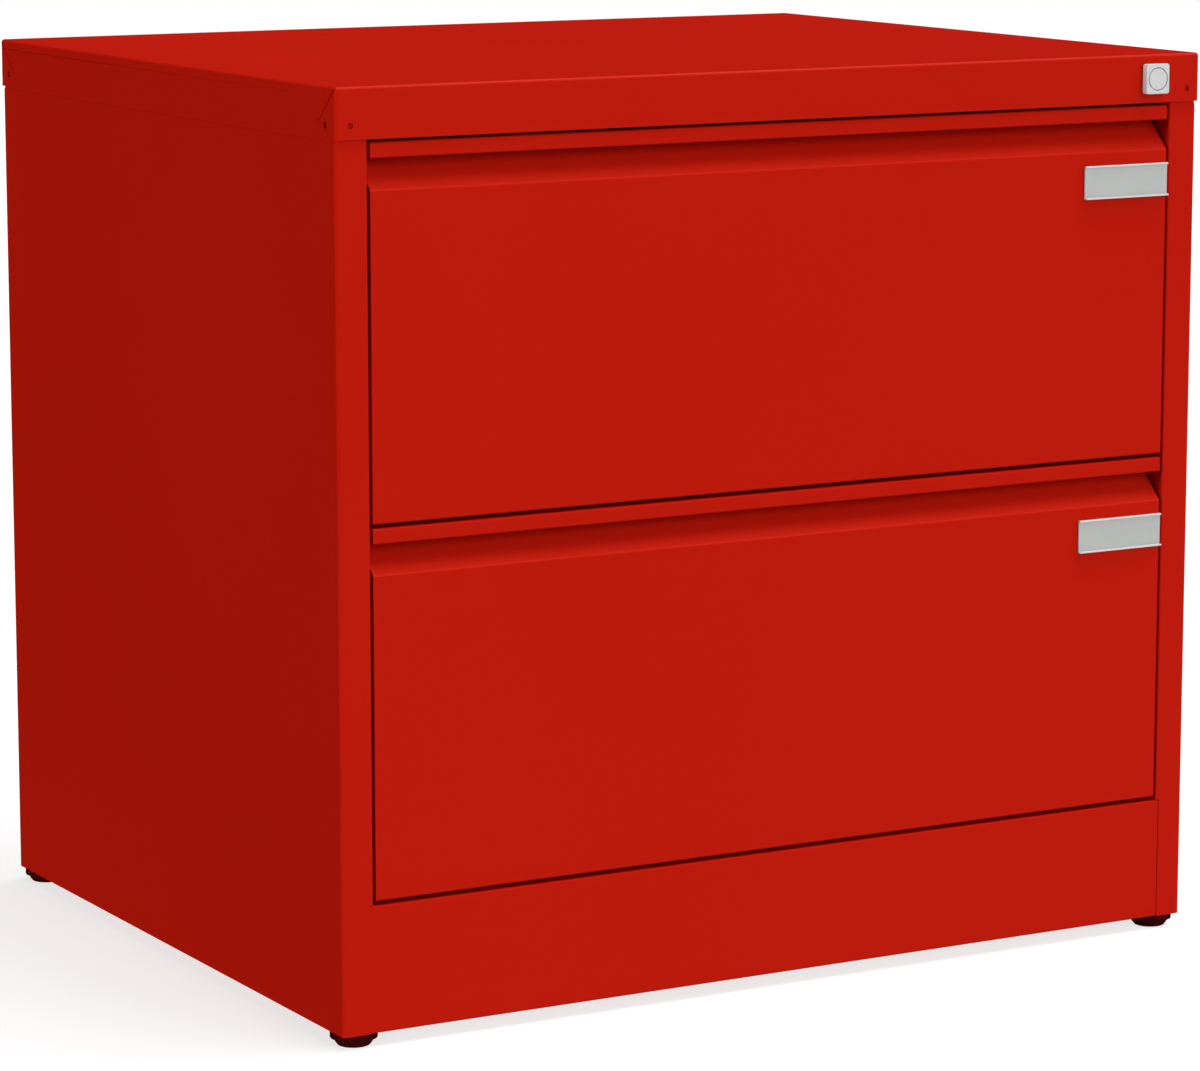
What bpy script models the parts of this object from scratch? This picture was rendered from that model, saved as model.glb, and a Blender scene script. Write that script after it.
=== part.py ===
"""Two-drawer side filing cabinet in folded, powder-coated sheet steel.

Units are metres, +Z is up, the front faces -Y and the right-hand side is +X.
The origin is at the centre of the outline, on the floor.
"""

import math

import bmesh
import bpy
from mathutils import Matrix, Vector

MM = 0.001

# ---------------------------------------------------------------- sizes
SHEET = 1.0 * MM            # folded steel sheet
GAP = 0.3 * MM              # clearance between faces that touch
COVER_WIDTH = 762.0 * MM    # over the top cover
COVER_DEPTH = 622.0 * MM
TOTAL_HEIGHT = 711.0 * MM   # floor to the top face
LOCK_PROUD = 6.0 * MM       # lock bezel in front of the cover
FOOT_HEIGHT = 10.5 * MM
SKIRT_DEPTH = 38.2 * MM     # front, side and back skirts of the cover
OVERHANG_SIDE = 0.7 * MM    # cover past the body
OVERHANG_FRONT = 2.4 * MM
STILE_EDGE_X = 354.5 * MM   # half of the drawer opening's width
PLINTH_HEIGHT = 97.0 * MM
PLINTH_HALF = 357.2 * MM
RETURN_DEPTH = 20.0 * MM    # stile folded back along the opening

FRONT_HALF = 352.3 * MM     # half of a drawer front's width
DRAWER_HEIGHT = 278.4 * MM
LOWER_Z = 100.2 * MM        # drawer bottoms above the body's bottom edge
UPPER_Z = 381.6 * MM
FACE_TOP = 244.6 * MM       # where the face folds back into the finger recess
LIP_BOTTOM = 266.8 * MM
CHANNEL_BACK = 27.5 * MM    # back leg of the grip channel, behind the cover's front
LINER_D = 28.8 * MM
BOX_HALF = 341.0 * MM       # outside of the drawer's sides
BOX_TOP = 258.0 * MM
BOX_BACK = 597.0 * MM
TRAVEL = 500.0 * MM         # drawer travel

SLIDE_X = 354.0 * MM        # wall side of a telescopic slide
SLIDE_Z = 80.0 * MM         # slide's centre above a drawer's bottom edge
SLIDE_START = 46.0 * MM
SLIDE_LENGTH = 545.0 * MM

LOCK_X = 337.0 * MM
LOCK_Z = 681.4 * MM         # above the body's bottom edge
BEZEL_W = 21.6 * MM
BEZEL_H = 23.6 * MM
BARREL_R = 8.5 * MM
CAM_THROW = 9.0 * MM        # crank radius of the cam's pin
BAR_D = 34.0 * MM           # front face of the lock bar
BAR_T = 2.5 * MM

FOOT_INSET = 17.2 * MM      # foot centres in from the body's faces

# ---------------------------------------------------------------- derived
COVER_HALF = COVER_WIDTH / 2
BODY_HALF = COVER_HALF - OVERHANG_SIDE
DEPTH_ALL = COVER_DEPTH + LOCK_PROUD
COVER_FRONT = -DEPTH_ALL / 2 + LOCK_PROUD
BODY_FRONT_D = OVERHANG_FRONT
BODY_BACK_D = COVER_DEPTH - OVERHANG_FRONT
F = FOOT_HEIGHT


def at(depth):
    """World Y of a point this far behind the cover's front face."""
    return COVER_FRONT + depth


# ---------------------------------------------------------------- scene
for old in list(bpy.data.objects):
    bpy.data.objects.remove(old, do_unlink=True)
scene_root = bpy.context.scene.collection
cabinet = bpy.data.collections.new("side_filing_cabinet")
cutters = bpy.data.collections.new("cutters")
scene_root.children.link(cabinet)
scene_root.children.link(cutters)


def material(name, colour, roughness, metallic):
    made = bpy.data.materials.new(name)
    made.use_nodes = True
    shader = made.node_tree.nodes["Principled BSDF"]
    shader.inputs["Base Color"].default_value = (*colour, 1.0)
    shader.inputs["Roughness"].default_value = roughness
    shader.inputs["Metallic"].default_value = metallic
    made.diffuse_color = (*colour, 1.0)
    return made


RED = material("red_powder_coat", (0.479, 0.0103, 0.0040), 0.45, 0.0)
ZINC = material("zinc_plated_steel", (0.55, 0.56, 0.57), 0.35, 1.0)
ALU = material("satin_aluminium", (0.50, 0.51, 0.50), 0.40, 1.0)
NICKEL = material("satin_nickel", (0.62, 0.62, 0.63), 0.30, 1.0)
BLACK = material("black_plastic", (0.012, 0.011, 0.011), 0.50, 0.0)


# ---------------------------------------------------------------- helpers
def add_object(name, bm, paint, home=None):
    mesh = bpy.data.meshes.new(name)
    bm.normal_update()
    bm.to_mesh(mesh)
    bm.free()
    obj = bpy.data.objects.new(name, mesh)
    (home or cabinet).objects.link(obj)
    if paint:
        own = paint.copy()
        own.name = name + "_finish"
        mesh.materials.append(own)
    return obj


def hide_cutter(obj):
    obj.hide_render = True
    obj.display_type = "WIRE"
    return obj


def box_mesh(lo, hi):
    bm = bmesh.new()
    size = Vector(hi) - Vector(lo)
    middle = (Vector(hi) + Vector(lo)) / 2
    bmesh.ops.create_cube(
        bm, size=1.0, matrix=Matrix.Translation(middle) @ Matrix.Diagonal((*size, 1.0))
    )
    return bm


def box(name, lo, hi, paint, home=None):
    return add_object(name, box_mesh(lo, hi), paint, home)


def cut_box(name, lo, hi):
    return hide_cutter(box(name, lo, hi, None, cutters))


def rod_mesh(radius, centre, axis, length, sides=28):
    """A closed cylinder about a point; axis is 'X', 'Y' or 'Z'."""
    turn = {
        "X": Matrix.Rotation(math.pi / 2, 4, "Y"),
        "Y": Matrix.Rotation(math.pi / 2, 4, "X"),
        "Z": Matrix.Identity(4),
    }[axis]
    bm = bmesh.new()
    bmesh.ops.create_cone(
        bm,
        cap_ends=True,
        segments=sides,
        radius1=radius,
        radius2=radius,
        depth=length,
        matrix=Matrix.Translation(Vector(centre)) @ turn,
    )
    return bm


def cut_rod(name, radius, centre, axis, length, sides=28):
    return hide_cutter(
        add_object(name, rod_mesh(radius, centre, axis, length, sides), None, cutters)
    )


def boolean(obj, other, operation):
    mod = obj.modifiers.new(operation.lower() + "_" + other.name, "BOOLEAN")
    mod.operation = operation
    mod.solver = "EXACT"
    mod.object = other
    return obj


def cut(obj, *others):
    for other in others:
        boolean(obj, other, "DIFFERENCE")
    return obj


def join(obj, *others):
    for other in others:
        hide_cutter(other)
        boolean(obj, other, "UNION")
    return obj


def filleted(points, radius, steps=2):
    """The polyline with each inner corner turned into a short arc."""
    out = [Vector(points[0])]
    for before, corner, after in zip(points, points[1:], points[2:]):
        before, corner, after = Vector(before), Vector(corner), Vector(after)
        into, away = (before - corner), (after - corner)
        half = into.angle(away) / 2
        reach = min(radius / math.tan(half), into.length * 0.45, away.length * 0.45)
        r = reach * math.tan(half)
        centre = corner + (into.normalized() + away.normalized()).normalized() * (
            r / math.sin(half)
        )
        start = corner + into.normalized() * reach - centre
        sweep = start.angle_signed(corner + away.normalized() * reach - centre)
        for i in range(steps + 1):
            turned = start.copy()
            turned.rotate(Matrix.Rotation(-sweep * i / steps, 2))
            out.append(centre + turned)
    out.append(Vector(points[-1]))
    return out


def folded_sheet(name, points, plane, levels, paint, thickness=SHEET, radius=1.5 * MM, shift=None):
    """Sheet metal with a constant cross-section.

    points is the middle line of the sheet in the named plane ('XY', 'YZ' or
    'XZ'), and levels are the places along the third axis that it runs through.
    shift moves a point as its level is made, and later levels start from it.
    """
    line = filleted([Vector(p) for p in points], radius) if radius else [Vector(p) for p in points]
    order = {
        "XY": lambda a, b, c: (a, b, c),
        "YZ": lambda a, b, c: (c, a, b),
        "XZ": lambda a, b, c: (a, c, b),
    }[plane]
    along = {"XY": 2, "YZ": 0, "XZ": 1}[plane]
    bm = bmesh.new()
    ring = [bm.verts.new(order(p.x, p.y, levels[0])) for p in line]
    edges = [bm.edges.new(pair) for pair in zip(ring, ring[1:])]
    if shift:
        for v in ring:
            v.co = shift(v.co.copy(), 0)
    for index, (low, high) in enumerate(zip(levels, levels[1:]), start=1):
        grown = bmesh.ops.extrude_edge_only(bm, edges=edges)["geom"]
        verts = [g for g in grown if isinstance(g, bmesh.types.BMVert)]
        edges = [g for g in grown if isinstance(g, bmesh.types.BMEdge)]
        step = Vector((0, 0, 0))
        step[along] = high - low
        bmesh.ops.translate(bm, verts=verts, vec=step)
        if shift:
            for v in verts:
                v.co = shift(v.co.copy(), index)
    bmesh.ops.recalc_face_normals(bm, faces=bm.faces[:])
    obj = add_object(name, bm, paint)
    solid = obj.modifiers.new("sheet_thickness", "SOLIDIFY")
    solid.thickness = thickness
    solid.offset = 0.0
    solid.use_even_offset = True
    return obj


def turned(name, profile, paint, steps=32):
    """A solid of revolution about its own Z; profile runs from top to bottom as (radius, z)."""
    bm = bmesh.new()
    verts = [bm.verts.new((r, 0.0, z)) for r, z in profile]
    for pair in zip(verts, verts[1:]):
        bm.edges.new(pair)
    obj = add_object(name, bm, paint)
    screw = obj.modifiers.new("turn", "SCREW")
    screw.axis = "Z"
    screw.steps = steps
    screw.render_steps = steps
    screw.use_merge_vertices = True
    screw.merge_threshold = 0.00001
    screw.use_smooth_shade = True
    return obj


def flat_plate(name, loops, centre_y, thickness, paint, home=None):
    """A flat plate in the XZ plane from closed outlines; inner loops are holes."""
    curve = bpy.data.curves.new(name + "_outline", "CURVE")
    curve.dimensions = "2D"
    curve.fill_mode = "BOTH"
    curve.extrude = thickness / 2
    for loop in loops:
        spline = curve.splines.new("POLY")
        spline.points.add(len(loop) - 1)
        for point, (x, z) in zip(spline.points, loop):
            point.co = (x, z, 0.0, 1.0)
        spline.use_cyclic_u = True
    guide = bpy.data.objects.new(name + "_outline", curve)
    scene_root.objects.link(guide)
    guide.rotation_euler = (math.pi / 2, 0, 0)
    guide.location = (0, centre_y, 0)
    bpy.context.view_layer.update()
    graph = bpy.context.evaluated_depsgraph_get()
    mesh = bpy.data.meshes.new_from_object(guide.evaluated_get(graph))
    bm = bmesh.new()
    bm.from_mesh(mesh)
    bmesh.ops.remove_doubles(bm, verts=bm.verts[:], dist=0.00001)
    bmesh.ops.transform(bm, matrix=guide.matrix_world, verts=bm.verts[:])
    bmesh.ops.recalc_face_normals(bm, faces=bm.faces[:])
    bpy.data.objects.remove(guide, do_unlink=True)
    bpy.data.meshes.remove(mesh)
    return add_object(name, bm, paint, home)


def arc(cx, cz, radius, start, end, count):
    return [
        (
            cx + radius * math.cos(start + (end - start) * i / count),
            cz + radius * math.sin(start + (end - start) * i / count),
        )
        for i in range(count + 1)
    ]


def carrier(name, location):
    empty = bpy.data.objects.new(name, None)
    empty.empty_display_size = 0.05
    empty.location = location
    cabinet.objects.link(empty)
    bpy.context.view_layer.update()
    return empty


def carry(empty, *objects):
    for obj in objects:
        obj.parent = empty
        obj.matrix_parent_inverse = empty.matrix_world.inverted()


# ---------------------------------------------------------------- top cover
def make_top_cover():
    half = SHEET / 2
    bm = box_mesh(
        (-COVER_HALF + half, at(half), TOTAL_HEIGHT - SKIRT_DEPTH),
        (COVER_HALF - half, at(COVER_DEPTH - half), TOTAL_HEIGHT - half),
    )
    floor = min(bm.faces, key=lambda f: f.calc_center_median().z)
    bmesh.ops.delete(bm, geom=[floor], context="FACES_ONLY")
    folds = [e for e in bm.edges if len(e.link_faces) == 2]
    bmesh.ops.bevel(
        bm, geom=folds, offset=1.6 * MM, offset_type="OFFSET", segments=2, profile=0.5,
        affect="EDGES",
    )
    bmesh.ops.recalc_face_normals(bm, faces=bm.faces[:])
    cover = add_object("top_cover", bm, RED)
    solid = cover.modifiers.new("sheet_thickness", "SOLIDIFY")
    solid.thickness = SHEET
    solid.offset = 0.0
    solid.use_even_offset = True
    hole_z = F + 672.5 * MM
    for index, x in enumerate((-369.2 * MM, 369.2 * MM)):
        cut(cover, cut_rod(f"cover_front_hole_{index}", 2.3 * MM, (x, at(0), hole_z), "Y", 6 * MM, 16))
    for side, x in (("left", -COVER_HALF), ("right", COVER_HALF)):
        for index, d in enumerate((16.2 * MM, COVER_DEPTH - 16.2 * MM)):
            cut(cover, cut_rod(f"cover_{side}_hole_{index}", 2.3 * MM, (x, at(d), hole_z), "X", 6 * MM, 16))
    cut(cover, cut_rod("cover_lock_hole", 10.1 * MM, (LOCK_X, at(0), F + LOCK_Z), "Y", 6 * MM, 32))
    return cover


# ---------------------------------------------------------------- body shell
def make_side_panel(name, side):
    """side is +1 for the right panel and -1 for the left one."""
    half = SHEET / 2
    wall = BODY_HALF - half
    edge = STILE_EDGE_X + half
    front = BODY_FRONT_D + half
    back = BODY_BACK_D - half
    outline = [
        (side * edge, at(BODY_FRONT_D + RETURN_DEPTH)),
        (side * edge, at(front)),
        (side * wall, at(front)),
        (side * wall, at(back)),
        (side * 350.0 * MM, at(back)),
    ]
    top = TOTAL_HEIGHT - 1.4 * MM
    levels = [F, F + 659.5 * MM, F + 661.3 * MM, top]

    def joggle(co, level):
        if level == 2 and abs(co.x) > 370 * MM:
            co.x -= side * 0.8 * MM
        return co

    panel = folded_sheet(name, outline, "XY", levels, RED, shift=joggle)

    def span(a, b):
        return tuple(sorted((side * a, side * b)))

    x0, x1 = span(350.0 * MM, (357.7 if side > 0 else 357.5) * MM)
    cut(panel, cut_box(name + "_plinth_notch", (x0, at(-1 * MM), F - 5 * MM), (x1, at(24 * MM), F + PLINTH_HEIGHT + GAP)))
    x0, x1 = span(350.0 * MM, 356.6 * MM)
    cut(panel, cut_box(name + "_rail_notch", (x0, at(3.7 * MM), F + 662.0 * MM), (x1, at(24 * MM), TOTAL_HEIGHT + 5 * MM)))
    x0, x1 = span(343.5 * MM, 379.7 * MM)
    bottom = box(name + "_bottom_flange", (x0, at(3.9 * MM), F + 0.2 * MM), (x1, at(BODY_BACK_D - 0.6 * MM), F + 1.2 * MM), None, cutters)
    x0, x1 = span(360.0 * MM, 378.9 * MM)
    upper = box(name + "_top_flange", (x0, at(42.0 * MM), top - 1.2 * MM), (x1, at(590.0 * MM), top - 0.2 * MM), None, cutters)
    join(panel, bottom, upper)
    foot_x = side * (BODY_HALF - FOOT_INSET)
    for index, d in enumerate((BODY_FRONT_D + FOOT_INSET, BODY_BACK_D - FOOT_INSET)):
        cut(panel, cut_rod(f"{name}_foot_hole_{index}", 4.4 * MM, (foot_x, at(d), F), "Z", 10 * MM, 20))
    return panel


def make_plinth():
    half = SHEET / 2
    front = at(BODY_FRONT_D + half)
    back = at(32.4 * MM)
    low, high = F + half, F + PLINTH_HEIGHT - half
    plinth = folded_sheet(
        "plinth",
        [(back, low), (front, low), (front, high), (back, high), (back, high - 14 * MM)],
        "YZ",
        [-PLINTH_HALF, PLINTH_HALF],
        RED,
    )
    for side in (-1, 1):
        x0, x1 = sorted((side * 343.0 * MM, side * 360.0 * MM))
        cut(plinth, cut_box(f"plinth_flange_cut_{side + 1}", (x0, at(3.7 * MM), F - 2 * MM), (x1, at(40 * MM), F + 3 * MM)))
    return plinth


def make_back_panel():
    mid = at(617.8 * MM)
    x = 377.6 * MM
    return folded_sheet(
        "back_panel",
        [(-x, at(601 * MM)), (-x, mid), (x, mid), (x, at(601 * MM))],
        "XY",
        [F + 2.0 * MM, TOTAL_HEIGHT - 3.0 * MM],
        RED,
    )


def make_base_pan():
    bm = box_mesh((-376 * MM, at(36 * MM), F + 3 * MM), (376 * MM, at(616 * MM), F + 16 * MM))
    floor = min(bm.faces, key=lambda f: f.calc_center_median().z)
    bmesh.ops.delete(bm, geom=[floor], context="FACES_ONLY")
    pan = add_object("base_pan", bm, RED)
    solid = pan.modifiers.new("sheet_thickness", "SOLIDIFY")
    solid.thickness = SHEET
    solid.offset = 0.0
    solid.use_even_offset = True
    return pan


def make_front_top_rail():
    web, back = at(4.3 * MM), at(20 * MM)
    low, high = F + 664.0 * MM, TOTAL_HEIGHT - 3.4 * MM
    rail = folded_sheet(
        "front_top_rail",
        [(back, low), (web, low), (web, high), (back, high)],
        "YZ",
        [-377.5 * MM, 377.5 * MM],
        RED,
    )
    return cut(rail, cut_rod("rail_lock_hole", 10.2 * MM, (LOCK_X, at(4.3 * MM), F + LOCK_Z), "Y", 6 * MM, 32))


def make_middle_rail():
    front, back = at(46 * MM), at(72 * MM)
    low, high = F + 366.5 * MM, F + 380.5 * MM
    return folded_sheet(
        "middle_rail",
        [(front, low), (front, high), (back, high), (back, low)],
        "YZ",
        [-353.9 * MM, 353.9 * MM],
        RED,
        thickness=1.2 * MM,
    )


def make_upright(name, side, start):
    inner, outer = 354.9 * MM, 378.9 * MM
    t = 1.2 * MM
    near, far = at(start + t / 2), at(start + 40 * MM - t / 2)
    return folded_sheet(
        name,
        [(side * outer, near), (side * inner, near), (side * inner, far), (side * outer, far)],
        "XY",
        [F + 17.0 * MM, F + 657.5 * MM],
        ZINC,
        thickness=t,
    )


def make_foot(name, side, depth):
    profile = [
        (0.0, F + 9.0 * MM),
        (3.4 * MM, F + 9.0 * MM),
        (4.0 * MM, F + 8.2 * MM),
        (4.0 * MM, F - GAP),
        (17.3 * MM, F - GAP),
        (17.9 * MM, F - 0.9 * MM),
        (17.9 * MM, F - 4.3 * MM),
        (17.4 * MM, F - 4.8 * MM),
        (14.25 * MM, F - 4.8 * MM),
        (14.25 * MM, 3.0 * MM),
        (11.8 * MM, 0.0),
        (0.0, 0.0),
    ]
    foot = turned(name, profile, BLACK)
    foot.location = (side * (BODY_HALF - FOOT_INSET), at(depth), 0.0)
    return foot


# ---------------------------------------------------------------- slides
def make_slide(name, side, z, part):
    """One member of a telescopic slide: 'outer', 'middle' or 'inner'."""
    t = 1.2 * MM
    web, tip, rise, start, length = {
        "outer": (0.6, 10.5, 21.9, 0.0, 545.0),
        "middle": (2.8, 11.5, 19.7, 1.0, 542.0),
        "inner": (12.1, 4.6, 17.3, -6.0, 545.0),
    }[part]
    web_x = side * (SLIDE_X - web * MM)
    tip_x = side * (SLIDE_X - tip * MM)
    begin = SLIDE_START + start * MM
    return folded_sheet(
        name,
        [(tip_x, z + rise * MM), (web_x, z + rise * MM), (web_x, z - rise * MM), (tip_x, z - rise * MM)],
        "XZ",
        [at(begin), at(begin + length * MM)],
        ZINC,
        thickness=t,
        radius=1.0 * MM,
    )


# ---------------------------------------------------------------- lock
def make_lock():
    z = F + LOCK_Z
    bezel = box_mesh(
        (LOCK_X - BEZEL_W / 2, at(-LOCK_PROUD), z - BEZEL_H / 2),
        (LOCK_X + BEZEL_W / 2, at(-GAP), z + BEZEL_H / 2),
    )
    long_edges = [
        e for e in bezel.edges if abs(e.verts[0].co.y - e.verts[1].co.y) > 1 * MM
    ]
    bmesh.ops.bevel(bezel, geom=long_edges, offset=2.0 * MM, segments=3, profile=0.5, affect="EDGES")
    housing = add_object("lock_housing", bezel, NICKEL)
    sleeve = add_object(
        "lock_sleeve", rod_mesh(9.7 * MM, (LOCK_X, at(7.5 * MM), z), "Y", 17 * MM, 32), None, cutters
    )
    join(housing, sleeve)
    cut(housing, cut_rod("lock_bore", BARREL_R + GAP, (LOCK_X, at(5 * MM), z), "Y", 30 * MM, 48))

    nut = add_object("lock_nut", rod_mesh(14.5 * MM, (LOCK_X, at(7.1 * MM), z), "Y", 4 * MM, 6), ZINC)
    cut(nut, cut_rod("lock_nut_bore", 10.0 * MM, (LOCK_X, at(7.1 * MM), z), "Y", 10 * MM, 32))

    barrel = turned(
        "lock_barrel",
        [
            (0.0, 36.0 * MM),
            (4.0 * MM, 36.0 * MM),
            (4.0 * MM, 24.0 * MM),
            (BARREL_R, 24.0 * MM),
            (BARREL_R, 0.3 * MM),
            (BARREL_R - 0.3 * MM, 0.0),
            (0.0, 0.0),
        ],
        NICKEL,
        steps=48,
    )
    barrel.rotation_euler = (-math.pi / 2, 0, 0)
    barrel.location = (LOCK_X, at(-LOCK_PROUD), z)

    quarter = math.pi / 4
    pin_x = LOCK_X + CAM_THROW * math.cos(quarter)
    pin_z = z + CAM_THROW * math.sin(quarter)
    outline = arc(LOCK_X, z, 8.0 * MM, quarter + 1.1, quarter + 2 * math.pi - 1.1, 18)
    outline += arc(pin_x, pin_z, 4.0 * MM, quarter - 1.3, quarter + 1.3, 10)
    hub_hole = arc(LOCK_X, z, 4.3 * MM, 0, 2 * math.pi * 23 / 24, 23)
    cam = flat_plate("lock_cam", [outline, hub_hole], at(26.2 * MM), 2.5 * MM, ZINC)
    pin = add_object(
        "lock_cam_pin", rod_mesh(2.0 * MM, (pin_x, at(32.0 * MM), pin_z), "Y", 12 * MM, 20), None, cutters
    )
    join(cam, pin)

    tab = 8.0 * MM
    left, right = 358.0 * MM, 370.0 * MM
    arm_low, arm_high = pin_z - 6.0 * MM, pin_z + 6.0 * MM
    outline = [(left, F + 114.5 * MM), (right, F + 114.5 * MM), (right, arm_high), (337.4 * MM, arm_high), (337.4 * MM, arm_low), (left, arm_low)]
    for base in (UPPER_Z, LOWER_Z):
        low = F + base + 163 * MM
        outline += [(left, low + tab), (346.0 * MM, low + tab), (346.0 * MM, low), (left, low)]
    slot = [(340.6 * MM, pin_z - 2.6 * MM), (348.8 * MM, pin_z - 2.6 * MM), (348.8 * MM, pin_z + 2.6 * MM), (340.6 * MM, pin_z + 2.6 * MM)]
    bar = flat_plate("lock_bar", [outline, slot], at(BAR_D + BAR_T / 2), BAR_T, ZINC)
    return housing, nut, barrel, cam, bar


def make_bar_guide(name, z):
    guide = box(name, (356.6 * MM, at(31 * MM), z), (379.0 * MM, at(43 * MM), z + 3 * MM), ZINC)
    foot = box(name + "_foot", (377.6 * MM, at(31.5 * MM), z + 1 * MM), (379.0 * MM, at(42.5 * MM), z + 18 * MM), None, cutters)
    join(guide, foot)
    return cut(guide, cut_box(name + "_slot", (357.4 * MM, at(33.4 * MM), z - 2 * MM), (370.6 * MM, at(37.1 * MM), z + 6 * MM)))


# ---------------------------------------------------------------- drawers
def make_drawer(word, base):
    z0 = F + base
    half = SHEET / 2
    face = BODY_FRONT_D + half
    rise = 23.4 * MM
    front = folded_sheet(
        word + "_drawer_front",
        [
            (at(27.8 * MM), z0 + half),
            (at(face), z0 + half),
            (at(face), z0 + FACE_TOP),
            (at(face + rise * 0.98), z0 + FACE_TOP + rise),
        ],
        "YZ",
        [-FRONT_HALF, FRONT_HALF],
        RED,
    )
    for side in (-1, 1):
        x0, x1 = sorted((side * FRONT_HALF, side * (FRONT_HALF - SHEET)))
        join(
            front,
            box(
                f"{word}_front_return_{side + 1}",
                (x0, at(2.7 * MM), z0 + 0.4 * MM),
                (x1, at(27.8 * MM), z0 + FACE_TOP - 1.2 * MM),
                None,
                cutters,
            ),
        )

    top = z0 + DRAWER_HEIGHT - half
    grip = folded_sheet(
        word + "_grip_channel",
        [
            (at(face + 3.0 * MM), z0 + LIP_BOTTOM + half),
            (at(face), z0 + LIP_BOTTOM + half),
            (at(face), top),
            (at(CHANNEL_BACK), top),
            (at(CHANNEL_BACK), z0 + 262.5 * MM),
        ],
        "YZ",
        [-FRONT_HALF, FRONT_HALF],
        RED,
        radius=1.2 * MM,
    )

    liner_x = 351.0 * MM
    liner = folded_sheet(
        word + "_front_liner",
        [(at(LINER_D), z0 + 1.0 * MM), (at(LINER_D), z0 + 262.0 * MM)],
        "YZ",
        [-liner_x, liner_x],
        RED,
        radius=0,
    )

    wall = BOX_HALF - half
    sides = []
    for side, hand in ((-1, "left"), (1, "right")):
        sides.append(
            folded_sheet(
                f"{word}_drawer_{hand}_side",
                [
                    (side * 322 * MM, z0 + 7.5 * MM),
                    (side * wall, z0 + 7.5 * MM),
                    (side * wall, z0 + BOX_TOP - half),
                    (side * 335.5 * MM, z0 + BOX_TOP - half),
                    (side * 335.5 * MM, z0 + BOX_TOP - 12 * MM),
                ],
                "XZ",
                [at(29.8 * MM), at(BOX_BACK)],
                RED,
            )
        )
    bottom = box(
        word + "_drawer_base",
        (-339.6 * MM, at(29.9 * MM), z0 + 8.4 * MM),
        (339.6 * MM, at(595.4 * MM), z0 + 9.4 * MM),
        RED,
    )
    back_mid = BOX_BACK - 0.6 * MM
    back = folded_sheet(
        word + "_drawer_back",
        [
            (-339.2 * MM, at(584 * MM)),
            (-339.2 * MM, at(back_mid)),
            (339.2 * MM, at(back_mid)),
            (339.2 * MM, at(584 * MM)),
        ],
        "XY",
        [z0 + 9.8 * MM, z0 + 240 * MM],
        RED,
    )
    rail = folded_sheet(
        word + "_centre_file_rail",
        [
            (-5 * MM, z0 + 244.5 * MM),
            (-5 * MM, z0 + BOX_TOP - 0.6 * MM),
            (5 * MM, z0 + BOX_TOP - 0.6 * MM),
            (5 * MM, z0 + 244.5 * MM),
        ],
        "XZ",
        [at(29.8 * MM), at(BOX_BACK - 1.0 * MM)],
        ZINC,
        thickness=1.2 * MM,
    )

    high = z0 + FACE_TOP - 11.4 * MM
    low = high - 26.2 * MM
    holder = folded_sheet(
        word + "_label_holder",
        [
            (at(-0.4 * MM), high - 2.4 * MM),
            (at(-0.4 * MM), high - 0.4 * MM),
            (at(1.6 * MM), high - 0.4 * MM),
            (at(1.6 * MM), low + 0.4 * MM),
            (at(-1.4 * MM), low + 0.4 * MM),
            (at(-1.4 * MM), low + 3.0 * MM),
        ],
        "YZ",
        [FRONT_HALF - 79.0 * MM, FRONT_HALF],
        ALU,
        thickness=0.8 * MM,
        radius=0.6 * MM,
    )

    catch = box(
        word + "_lock_catch",
        (BOX_HALF + GAP, at(39.5 * MM), z0 + 138 * MM),
        (BOX_HALF + 1.5 * MM, at(72 * MM), z0 + 160.3 * MM),
        ZINC,
    )
    join(
        catch,
        box(
            word + "_catch_finger",
            (BOX_HALF + 0.8 * MM, at(39.8 * MM), z0 + 150 * MM),
            (350.5 * MM, at(41.8 * MM), z0 + 160 * MM),
            None,
            cutters,
        ),
    )
    slides = [
        make_slide(f"{word}_{hand}_inner_slide", side, z0 + SLIDE_Z, "inner")
        for side, hand in ((-1, "left"), (1, "right"))
    ]
    return [front, grip, liner, *sides, bottom, back, rail, holder, catch, *slides]


# ---------------------------------------------------------------- assembly
make_top_cover()
make_side_panel("right_side_panel", 1)
make_side_panel("left_side_panel", -1)
make_plinth()
make_back_panel()
make_base_pan()
make_front_top_rail()
make_middle_rail()
for side, hand in ((-1, "left"), (1, "right")):
    make_upright(hand + "_front_upright", side, 44 * MM)
    make_upright(hand + "_rear_upright", side, 556 * MM)
    make_foot(hand + "_front_foot", side, BODY_FRONT_D + FOOT_INSET)
    make_foot(hand + "_rear_foot", side, BODY_BACK_D - FOOT_INSET)

for word, base in (("upper", UPPER_Z), ("lower", LOWER_Z)):
    middle_z = F + base + SLIDE_Z
    drawer_axis = carrier(word + "_drawer_travel", (0, at(BODY_FRONT_D), F + base))
    carry(drawer_axis, *make_drawer(word, base))
    for side, hand in ((-1, "left"), (1, "right")):
        make_slide(f"{word}_{hand}_outer_slide", side, middle_z, "outer")
        member = make_slide(f"{word}_{hand}_middle_slide", side, middle_z, "middle")
        member_axis = carrier(
            f"{word}_{hand}_slide_travel", (side * SLIDE_X, at(SLIDE_START), middle_z)
        )
        carry(member_axis, member)

_, _, lock_barrel, lock_cam, lock_bar = make_lock()
lock_axis = carrier("lock_turn_axis", (LOCK_X, at(-LOCK_PROUD), F + LOCK_Z))
carry(lock_axis, lock_barrel, lock_cam)
bar_axis = carrier("lock_bar_travel", (364 * MM, at(BAR_D), F + 400 * MM))
carry(bar_axis, lock_bar)
make_bar_guide("upper_lock_bar_guide", F + 620 * MM)
make_bar_guide("lower_lock_bar_guide", F + 140 * MM)

for obj in cabinet.objects:
    if obj.type == "MESH":
        obj.data.shade_smooth()
        obj.data.set_sharp_from_angle(angle=math.radians(35))
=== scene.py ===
import math

import bmesh
import bpy
from mathutils import Matrix, Vector


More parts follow.
